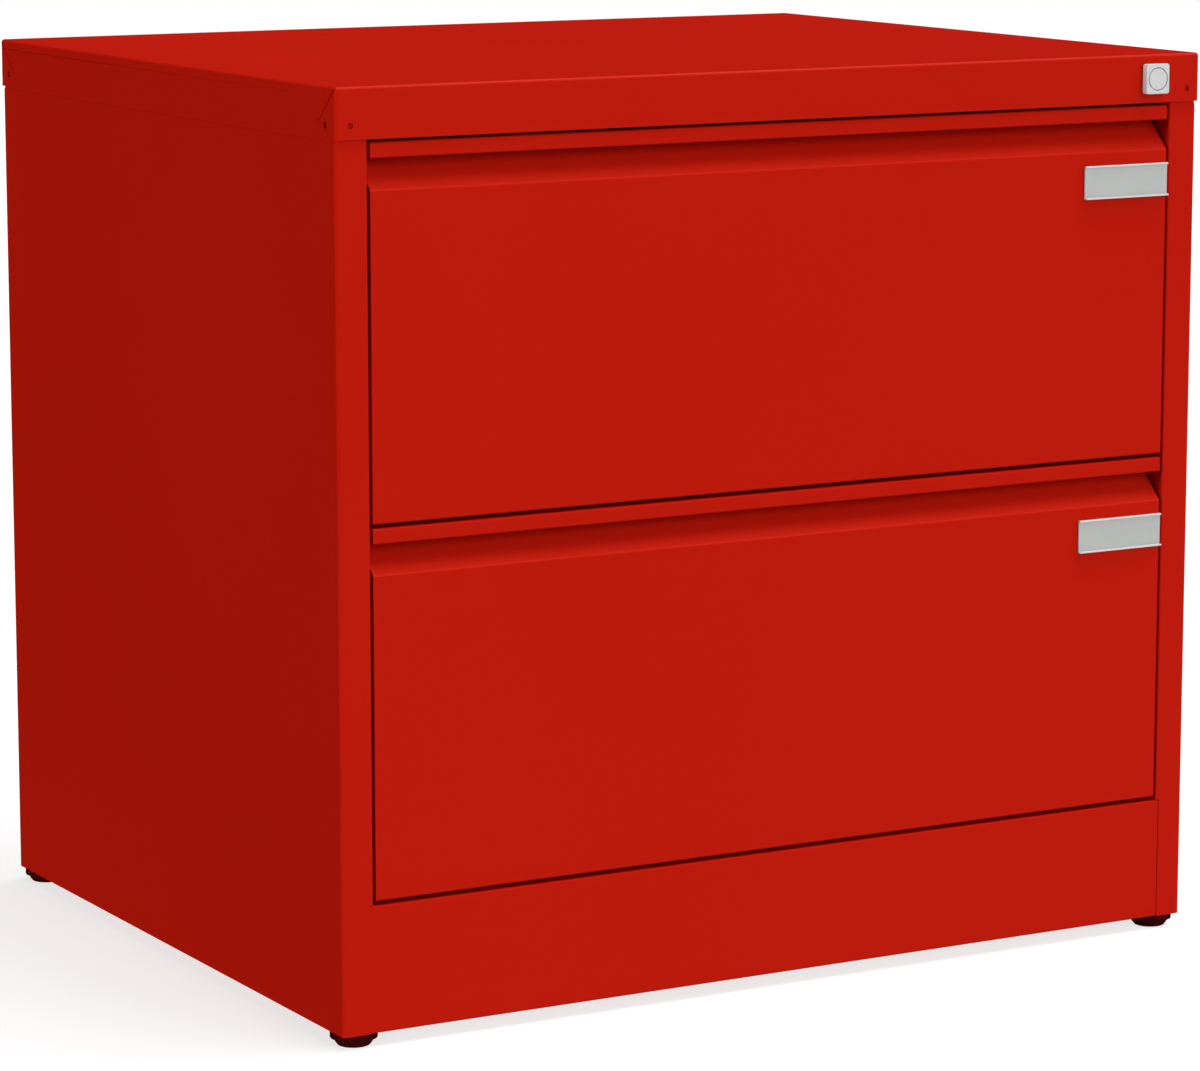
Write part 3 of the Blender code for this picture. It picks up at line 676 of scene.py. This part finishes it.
# ================================================================ feet
def make_foot(word, side, depth):
    r = 17.9 * MM
    profile = [
        (0.0, 19.5 * MM), (3.4 * MM, 19.5 * MM), (4.0 * MM, 18.7 * MM), (4.0 * MM, 10.2 * MM),
        (r - 0.5 * MM, 10.2 * MM), (r - 0.15 * MM, 10.05 * MM), (r, 9.7 * MM), (r, 6.1 * MM), (r - 0.15 * MM, 5.75 * MM), (r - 0.5 * MM, 5.6 * MM),
        (14.6 * MM, 5.6 * MM), (14.35 * MM, 5.35 * MM), (14.25 * MM, 2.9 * MM), (14.05 * MM, 2.45 * MM), (12.3 * MM, 0.25 * MM), (11.8 * MM, 0.0),
        (4.5 * MM, 0.0), (4.0 * MM, 0.8 * MM), (0.0, 0.8 * MM),
    ]
    foot = lathes(f"{word}_glide", [(profile, (side * 0.3631, at(depth), 0.0), (0, 0, 1))], FOOT, 64, 28.0)
    return place(foot, "root", f"{word}_foot", slot="black_plastic")


# ================================================================ drawers
def make_drawer(word, base):
    z0 = F + base
    body = f"{word}_drawer"
    face = at(2.4) + HALF
    rise = 23.4 * MM
    bend = FACE_TOP - 1.3 * MM
    front = folded_sheet(
        f"{word}_front",
        [(at(27.8), z0 + HALF), (face, z0 + HALF), (face, z0 + bend), (face + rise * 0.98, z0 + bend + rise)],
        "YZ", [-FRONT_HALF, FRONT_HALF], RED, radius=[1.2 * MM, 2.0 * MM],
    )
    for side in (-1, 1):
        x0, x1 = sorted((side * FRONT_HALF, side * (FRONT_HALF - SHEET)))
        join(front, box(f"{word}_r{side}", (x0, at(3.4), z0 + 1.6 * MM), (x1, at(27.8), z0 + FACE_TOP - 1.2 * MM)))
    settle(front, 0.16 * MM, 30.0)
    near = z0 + bend
    # the top bend of the front gets the lighter, shinier copy of the red: a painted highlight along the bend
    finish_faces(front, RED_BEND_PAINTED_HIGHLIGHT, lambda spot, way: abs(spot.z - near) < 1.6 * MM and 0.06 < way.z < 0.69 and way.y < 0)
    place(front, body, f"{word}_drawer_front", slot="red_powder_coat")

    top = z0 + 278.4 * MM - HALF
    low = z0 + 266.8 * MM + HALF
    grip = folded_sheet(
        f"{word}_grip",
        [(face + 3.0 * MM, low), (face, low), (face, top), (at(27.5), top), (at(27.5), z0 + 262.5 * MM)],
        "YZ", [-FRONT_HALF, FRONT_HALF], RED, radius=[0.9 * MM, 1.3 * MM, 1.3 * MM],
    )
    settle(grip, 0.16 * MM, 30.0)
    place(grip, body, f"{word}_grip_channel", slot="red_powder_coat")

    # extruded holder: a plate with a shallow lip along its top and a deeper one below
    high = z0 + FACE_TOP - 11.4 * MM
    low = high - 26.2 * MM
    outline = [
        (2.1, high - 0.0), (-0.5, high - 0.0), (-0.8, high - 0.3 * MM), (-0.8, high - 1.3 * MM), (-0.4, high - 1.5 * MM),
        (-0.1, high - 0.9 * MM), (0.6, high - 1.0 * MM), (0.8, high - 1.2 * MM), (0.8, low + 1.2 * MM), (0.6, low + 1.0 * MM),
        (-1.2, low + 0.9 * MM), (-1.4, low + 1.6 * MM), (-1.8, low + 1.4 * MM), (-1.8, low + 0.3 * MM), (-1.5, low), (2.1, low),
    ]
    bm = bmesh.new()
    rows = [
        [bm.verts.new((x, at(d), z)) for d, z in outline]
        for x in (FRONT_HALF - 79.0 * MM, FRONT_HALF)
    ]
    for i in range(len(outline)):
        j = (i + 1) % len(outline)
        bm.faces.new((rows[0][i], rows[0][j], rows[1][j], rows[1][i]))
    for row in rows:
        bm.faces.new(row)
    bmesh.ops.recalc_face_normals(bm, faces=bm.faces[:])
    holder = add_object(f"{word}_holder", bm, ALU)
    settle(holder, 0.13 * MM, 30.0)
    # the lips of the holder get the lighter copy of the aluminium: a painted highlight on them
    finish_faces(holder, ALU_LIP_PAINTED_HIGHLIGHT, lambda spot, way: not low + 1.7 * MM < spot.z < high - 1.6 * MM)
    place(holder, body, f"{word}_label_holder", slot="satin_aluminium")

    liner = folded_sheet(
        f"{word}_liner", [(at(28.8), z0 + 1.0 * MM), (at(28.8), z0 + 262.0 * MM)], "YZ", [-0.351, 0.351], RED_INNER, radius=0
    )
    settle(liner, 0.2 * MM, 30.0)
    place(liner, body, f"{word}_front_liner", slot="red_powder_coat")
    wall = 0.341 - HALF
    rail_top = z0 + 258.0 * MM - HALF
    for side, hand in ((-1, "left"), (1, "right")):
        flank = folded_sheet(
            f"{word}_{hand}_flank",
            [
                (side * 0.322, z0 + 7.5 * MM), (side * wall, z0 + 7.5 * MM), (side * wall, rail_top),
                (side * 0.3355, rail_top), (side * 0.3355, z0 + 246.0 * MM),
            ],
            "XZ", [at(29.8), at(597)], RED_INNER, radius=[1.5 * MM, 1.6 * MM, 1.6 * MM],
        )
        settle(flank, 0.15 * MM, 30.0)
        place(flank, body, f"{word}_drawer_{hand}_side", slot="red_powder_coat")
    floor = box(f"{word}_drawer_floor", (-0.3396, at(29.9), z0 + 8.4 * MM), (0.3396, at(595.4), z0 + 9.4 * MM), RED_INNER)
    settle(floor, 0.2 * MM, 30.0)
    place(floor, body, f"{word}_drawer_base", slot="red_powder_coat")
    end = folded_sheet(
        f"{word}_drawer_end",
        [(-0.3392, at(584)), (-0.3392, at(596.4 - 0.5)), (0.3392, at(596.4 - 0.5)), (0.3392, at(584))],
        "XY", [z0 + 9.8 * MM, z0 + 240 * MM], RED_INNER,
    )
    settle(end, 0.15 * MM, 30.0)
    place(end, body, f"{word}_drawer_back", slot="red_powder_coat")
    rail = folded_sheet(
        f"{word}_file_rail",
        [
            (-5 * MM, z0 + 244.5 * MM), (-5 * MM, z0 + 257.4 * MM),
            (5 * MM, z0 + 257.4 * MM), (5 * MM, z0 + 244.5 * MM),
        ],
        "XZ", [at(29.8), at(596)], ZINC, thickness=1.2 * MM, radius=2.2 * MM,
    )
    settle(rail, 0.15 * MM, 30.0)
    place(rail, body, f"{word}_centre_file_rail", slot="zinc_plated_steel")

    catch = folded_sheet(
        f"{word}_catch",
        [(0.3419, at(72.0)), (0.3419, at(40.6)), (0.3505, at(40.6))],
        "XY", [z0 + 138.0 * MM, z0 + 160.3 * MM], ZINC, thickness=1.2 * MM, radius=1.6 * MM,
    )
    cut(catch, box(f"{word}_catch_notch", (0.3436, at(38), z0 + 136 * MM), (0.352, at(46), z0 + 150 * MM)))
    settle(catch, 0.15 * MM, 30.0)
    place(catch, body, f"{word}_lock_catch", slot="zinc_plated_steel")

    heads = []
    for side in (-1, 1):
        for d in (90.0, 300.0, 540.0):       # fixings of the slides, seen inside the drawer and in the slide's channel
            heads.append((rivet(3.4 * MM, 1.3 * MM), (side * 0.340, at(d), z0 + 80 * MM), (-side, 0, 0)))
            heads.append((rivet(3.6 * MM, 1.6 * MM), (side * 0.3425, at(d), z0 + 80 * MM), (side, 0, 0)))
        for z in (40.0, 125.0, 210.0):       # fixings of the front, seen inside the drawer
            heads.append((rivet(3.0 * MM, 1.2 * MM), (side * 0.331, at(29.3), z0 + z * MM), (0, 1, 0)))
        for z in (40.0, 200.0):              # fixings of the drawer's back
            heads.append((rivet(2.6 * MM, 1.0 * MM), (side * 0.341, at(590), z0 + z * MM), (side, 0, 0)))
    for d in (50.0, 62.0):
        heads.append((rivet(2.2 * MM, 0.9 * MM), (0.3425, at(d), z0 + 144 * MM), (1, 0, 0)))
    place(lathes(f"{word}_drawer_rivets", heads, ZINC), body, slot="zinc_plated_steel")


# ================================================================ telescopic slides
SLIDE_X = 354.0                               # the wall side of every slide
SLIDE_SECTION = {                             # mm from the wall side and from the slide's axis
    "outer": [(10.5, 20.7), (9.4, 21.9), (2.6, 21.9), (0.6, 19.9)],
    "middle": [(11.4, 16.4), (10.4, 17.5), (4.6, 17.5), (2.8, 15.7)],
    "inner": [(4.8, 12.0), (5.8, 12.9), (10.4, 12.9), (12.1, 11.2)],
}


def make_member(name, side, z, part, start, length):
    top = SLIDE_SECTION[part]
    line = top + [(o, -h) for o, h in reversed(top)]
    member = folded_sheet(
        name, [(side * (SLIDE_X - o) * MM, z + h * MM) for o, h in line], "XZ", [at(start), at(start + length)],
        ZINC, thickness=1.2 * MM, radius=1.0 * MM, steps=4,
    )
    if part == "middle":
        for i, d in enumerate((60.0, 200.0, 340.0, 480.0)):
            slot = rounded_rect(16 * MM, 5 * MM, 2.4 * MM, 5)
            bm = bmesh.new()
            rows = [
                [bm.verts.new((side * (SLIDE_X - o) * MM, at(start + d) + a, z + b)) for a, b in slot] for o in (0.0, 6.0)
            ]
            for k in range(len(slot)):
                m = (k + 1) % len(slot)
                bm.faces.new((rows[0][k], rows[0][m], rows[1][m], rows[1][k]))
            for row in rows:
                bm.faces.new(row)
            bmesh.ops.recalc_face_normals(bm, faces=bm.faces[:])
            cut(member, add_object(f"{name}_slot_{i}", bm, None))
    return settle(member, 0.0, 30.0)


def make_cage(name, side, z, start, web, lip, reach, ball, ball_at, body):
    """A ball cage: a thin channel with a row of steel balls along each race."""
    cage = folded_sheet(
        name, [(side * (SLIDE_X - o) * MM, z + h * MM) for o, h in ((reach, lip), (web, lip), (web, -lip), (reach, -lip))],
        "XZ", [at(start), at(start + 84.0)], BLACK, thickness=0.45 * MM, radius=1.4 * MM, steps=4,
    )
    settle(cage, 0.0, 30.0)
    place(cage, body, slot="black_plastic")
    profile = [(ball * math.sin(math.pi * i / 8) * MM, -ball * math.cos(math.pi * i / 8) * MM) for i in range(9)]
    items = []
    for i in range(12):
        for way in (-1, 1):
            items.append((profile, (side * (SLIDE_X - ball_at) * MM, at(start + 5.0 + 6.7 * i), z + way * lip * MM), (0, 0, 1)))
    place(lathes(name + "_balls", items, BALL, 12, 80.0), body, slot="zinc_plated_steel")


def make_slides(word, base):
    z = F + base + 80 * MM
    for side, hand in ((-1, "left"), (1, "right")):
        member = f"{word}_{hand}_slide_member"
        place(make_member(f"{word}_{hand}_slide_fixed", side, z, "outer", 46.0, 545.0), "root",
              f"{word}_{hand}_outer_slide", slot="zinc_plated_steel")
        place(make_member(f"{word}_{hand}_slide_between", side, z, "middle", 47.0, 542.0), member,
              f"{word}_{hand}_middle_slide", slot="zinc_plated_steel")
        place(make_member(f"{word}_{hand}_slide_moving", side, z, "inner", 40.0, 545.0), f"{word}_drawer",
              f"{word}_{hand}_inner_slide", slot="zinc_plated_steel")
        make_cage(f"{word}_{hand}_cage_fixed", side, z, 49.0, 1.7, 19.7, 8.6, 1.5, 6.4, "root")
        make_cage(f"{word}_{hand}_cage_moving", side, z, 49.0, 4.1, 15.2, 10.6, 1.6, 8.2, member)


# ================================================================ lock
def rounded_rect(w, h, r, steps=8):
    pts = []
    for cx, cz, a0 in ((w / 2 - r, h / 2 - r, 0), (-w / 2 + r, h / 2 - r, 90), (-w / 2 + r, -h / 2 + r, 180), (w / 2 - r, -h / 2 + r, 270)):
        for i in range(steps + 1):
            a = math.radians(a0 + 90 * i / steps)
            pts.append((cx + r * math.cos(a), cz + r * math.sin(a)))
    return pts


def make_lock():
    """Square bezel with softly rounded front edges around a plain round barrel."""
    bm = bmesh.new()
    soft = 0.5                                # radius of the rounding round the front face, mm
    rings = []
    rim = [(math.radians(90 * i / 5)) for i in range(6)]
    outline = [(-6.0 + soft * (1 - math.sin(a)), soft * MM * (1 - math.cos(a))) for a in rim]
    for d, inset in [(-0.3, 0.0)] + outline:  # from the back of the side to the front face
        pts = rounded_rect(21.6 * MM - 2 * inset, 23.6 * MM - 2 * inset, max(0.4 * MM, 2.0 * MM - inset), 10)
        rings.append([bm.verts.new((LOCK_X + x, at(d), LOCK_Z + z)) for x, z in pts])
    count = len(rings[0])
    for a, b in zip(rings, rings[1:]):
        for i in range(count):
            j = (i + 1) % count
            bm.faces.new((a[i], a[j], b[j], b[i]))
    bm.faces.new(rings[0])
    bm.faces.new(rings[-1])
    bmesh.ops.recalc_face_normals(bm, faces=bm.faces[:])
    bezel = add_object("lock_bezel", bm, NICKEL)
    join(bezel, rod("l_sleeve", 9.7 * MM, (LOCK_X, at(7.0), LOCK_Z), "Y", 18 * MM, 72))
    cut(bezel, rod("l_bore", 9.1 * MM, (LOCK_X, at(5.0), LOCK_Z), "Y", 30 * MM, 72))
    settle(bezel, 0.0, 40)
    place(bezel, "root", "lock_housing", slot="satin_nickel")

    r = 8.5 * MM
    profile = [
        (0.0, 0.0), (r - 0.25 * MM, 0.0), (r - 0.10 * MM, -0.04 * MM), (r - 0.02 * MM, -0.14 * MM), (r, -0.3 * MM),
        (r, -24.0 * MM), (4.0 * MM, -24.0 * MM), (4.0 * MM, -36.0 * MM), (0.0, -36.0 * MM),
    ]
    barrel = lathes("lock_face", [(profile, (LOCK_X, at(-6.0), LOCK_Z), (0, -1, 0))], NICKEL, 72, 30.0)
    place(barrel, "lock_barrel", "lock_barrel", slot="satin_nickel")


def arc(x, z, r, start, end, steps):
    return [(x + r * math.cos(start + (end - start) * i / steps), z + r * math.sin(start + (end - start) * i / steps)) for i in range(steps + 1)]


def plate(name, outline, near, far, paint):
    """A flat plate cut to this outline in X and Z."""
    bm = bmesh.new()
    rows = [[bm.verts.new((x, y, z)) for x, z in outline] for y in (near, far)]
    for i in range(len(outline)):
        j = (i + 1) % len(outline)
        bm.faces.new((rows[0][i], rows[0][j], rows[1][j], rows[1][i]))
    for row in rows:
        bm.faces.new(row)
    bmesh.ops.recalc_face_normals(bm, faces=bm.faces[:])
    return add_object(name, bm, paint)


def make_lock_works():
    """Behind the lock: its ring nut and cam, and the bar that drops behind the drawers' catches."""
    nut = rod("ring_nut", 14.5 * MM, (LOCK_X, at(7.1), LOCK_Z), "Y", 4 * MM, 6)
    nut.data.materials.append(ZINC)
    settle(nut, 0.5 * MM, 25.0)
    cut(nut, rod("n_bore", 10.0 * MM, (LOCK_X, at(7.1), LOCK_Z), "Y", 10 * MM, 48))
    place(settle(nut, 0.0, 25.0), "root", "lock_nut", slot="zinc_plated_steel")

    quarter = math.pi / 4
    pin_x, pin_z = 0.343364, 0.698264
    outline = arc(LOCK_X, LOCK_Z, 8.0 * MM, quarter + 1.1, quarter + 2 * math.pi - 1.1, 40)
    outline += arc(pin_x, pin_z, 4.0 * MM, quarter - 1.3, quarter + 1.3, 20)
    cam = plate("cam_plate", outline, at(26.2), at(28.7), ZINC)
    cut(cam, rod("m_hole", 4.3 * MM, (LOCK_X, at(27), LOCK_Z), "Y", 8 * MM, 32))
    settle(cam, 0.18 * MM, 30.0)
    join(cam, rod("m_pin", 2.0 * MM, (pin_x, at(32.0), pin_z), "Y", 12 * MM, 28))
    place(settle(cam, 0.0, 30.0), "lock_barrel", "lock_cam", slot="zinc_plated_steel")

    left, right = 0.358, 0.370
    low, high = pin_z - 6.0 * MM, pin_z + 6.0 * MM
    outline = [(left, 0.125), (right, 0.125), (right, high), (0.3374, high), (0.3374, low), (left, low)]
    for base in (BASES["upper"], BASES["lower"]):
        tab = F + base + 0.163
        outline += [(left, tab + 8 * MM), (0.346, tab + 8 * MM), (0.346, tab), (left, tab)]
    bar = plate("drop_bar", outline, at(34.0), at(36.5), ZINC)
    cut(bar, box("b_slot", (0.3406, at(32), pin_z - 2.6 * MM), (0.3488, at(39), pin_z + 2.6 * MM)))
    place(settle(bar, 0.22 * MM, 30.0), "lock_bar", "lock_bar", slot="zinc_plated_steel")

    for word, z in (("upper", 0.6305), ("lower", 0.1505)):
        guide = box(f"{word}_guide", (0.3566, at(31.0), z), (0.3790, at(43.0), z + 3 * MM), ZINC)
        join(guide, box("g_foot", (0.3776, at(31.5), z + 1 * MM), (0.3790, at(42.5), z + 18 * MM)))
        cut(guide, box("g_slot", (0.3574, at(33.4), z - 2 * MM), (0.3706, at(37.1), z + 5 * MM)))
        place(settle(guide, 0.18 * MM, 30.0), "root", f"{word}_lock_bar_guide", slot="zinc_plated_steel")


make_cover()
make_side_panel("left_side", -1)
make_side_panel("right_side", 1)
make_plinth()
make_frame_sheets()
make_back_rivets()
for hand, side in (("left", -1), ("right", 1)):
    make_foot(f"{hand}_front", side, 19.6)
    make_foot(f"{hand}_rear", side, 602.4)
for word, base in BASES.items():
    make_drawer(word, base)
    make_slides(word, base)
make_lock()
make_lock_works()

# ================================================================ finishes of the CAD nodes that stay
for name, obj in nodes.items():
    if obj.hide_render:
        continue
    if name in ("back_panel", "front_top_rail", "middle_rail"):
        paint = RED
    elif name == "base_pan" or name.endswith(("front_liner", "_side", "drawer_base", "drawer_back")):
        paint = RED_INNER
    elif "foot" in name:
        paint = FOOT
    elif "middle_slide" in name or "upright" in name:
        paint = ZINC_DARK
    else:
        paint = ZINC
    for i in range(max(1, len(obj.material_slots))):
        if obj.material_slots:
            obj.material_slots[i].material = paint
        else:
            obj.data.materials.append(paint)

# ================================================================ stage, light and camera
def stage_material(name, colour, glow):
    t = Tree(name)
    t.put(Base_Color=colour, Roughness=0.9, Specular_IOR_Level=0.0, Emission_Color=(1.0, 1.0, 1.0), Emission_Strength=glow)
    return t.material


def make_stage():
    bm = bmesh.new()
    bmesh.ops.create_circle(bm, cap_ends=True, radius=11.5, segments=96)
    floor = add_object("studio_floor", bm, stage_material("pale_floor", (0.34, 0.34, 0.34), 0.74))
    bm = bmesh.new()
    bmesh.ops.create_uvsphere(bm, u_segments=64, v_segments=32, radius=12.0)
    bmesh.ops.reverse_faces(bm, faces=bm.faces[:])
    backdrop = add_object("studio_backdrop", bm, stage_material("pale_backdrop", (0.0, 0.0, 0.0), 1.0))
    for piece in (floor, backdrop):
        piece.visible_diffuse = False
        piece.visible_glossy = False
        piece.visible_shadow = False


def sun(name, towards, strength, angle, glossy=True):
    data = bpy.data.lights.new(name, "SUN")
    data.energy = strength
    data.angle = math.radians(angle)
    obj = bpy.data.objects.new(name, data)
    scene.collection.objects.link(obj)
    obj.rotation_mode = "QUATERNION"
    obj.rotation_quaternion = Vector(towards).to_track_quat("Z", "Y")
    obj.visible_glossy = glossy
    return obj


def make_world():
    """Soft surround light: brightest in front of the cabinet and to its right, dim behind it."""
    world = bpy.data.worlds.new("studio_light")
    scene.world = world
    world.use_nodes = True
    tree = world.node_tree
    tree.nodes.clear()
    coords = tree.nodes.new("ShaderNodeTexCoord")
    split = tree.nodes.new("ShaderNodeSeparateXYZ")
    tree.links.new(coords.outputs["Generated"], split.inputs["Vector"])

    def lobe(axis, start, end, low, high):
        ramp = tree.nodes.new("ShaderNodeMapRange")
        ramp.interpolation_type = "SMOOTHSTEP"
        for key, value in (("From Min", start), ("From Max", end), ("To Min", low), ("To Max", high)):
            ramp.inputs[key].default_value = value
        tree.links.new(split.outputs[axis], ramp.inputs["Value"])
        return ramp.outputs["Result"]

    product = tree.nodes.new("ShaderNodeMath")
    product.operation = "MULTIPLY_ADD"
    tree.links.new(lobe("Y", 0.25, -0.85, 0.0, 0.80), product.inputs[0])
    tree.links.new(lobe("Z", -0.35, 0.25, 1.0, 0.50), product.inputs[1])
    product.inputs[2].default_value = 0.006
    sided = tree.nodes.new("ShaderNodeMath")
    sided.operation = "MULTIPLY"
    tree.links.new(product.outputs["Value"], sided.inputs[0])
    tree.links.new(lobe("X", -0.90, 0.50, 0.35, 1.15), sided.inputs[1])
    glow = tree.nodes.new("ShaderNodeBackground")
    glow.inputs["Color"].default_value = (1.0, 1.0, 1.0, 1.0)
    tree.links.new(sided.outputs["Value"], glow.inputs["Strength"])
    out = tree.nodes.new("ShaderNodeOutputWorld")
    tree.links.new(glow.outputs["Background"], out.inputs["Surface"])


make_stage()
make_world()
sun("key_front", (0.25, -0.93, 0.25), 1.35, 40)
sun("overhead", (0.33, -0.07, 0.94), 2.98, 52)
sun("fill_left", (-1.0, -0.002, 0.03), 1.80, 1.6)
sun("fill_back_right", (0.45, 0.86, -0.26), 1.63, 24)

camera_data = bpy.data.cameras.new("photo_camera")
camera_data.lens = 140.1573
camera_data.sensor_width = 36.0
camera_data.clip_start = 0.05
camera_data.clip_end = 60.0
camera = bpy.data.objects.new("photo_camera", camera_data)
scene.collection.objects.link(camera)
camera.location = (-1.85844, -3.30095, 0.95655)
camera.rotation_euler = (math.radians(90 - 9.6928), 0.0, math.radians(-29.5156))
scene.camera = camera

scene.view_settings.view_transform = "Standard"
scene.view_settings.look = "None"
scene.view_settings.exposure = 0.0
scene.view_settings.gamma = 1.0
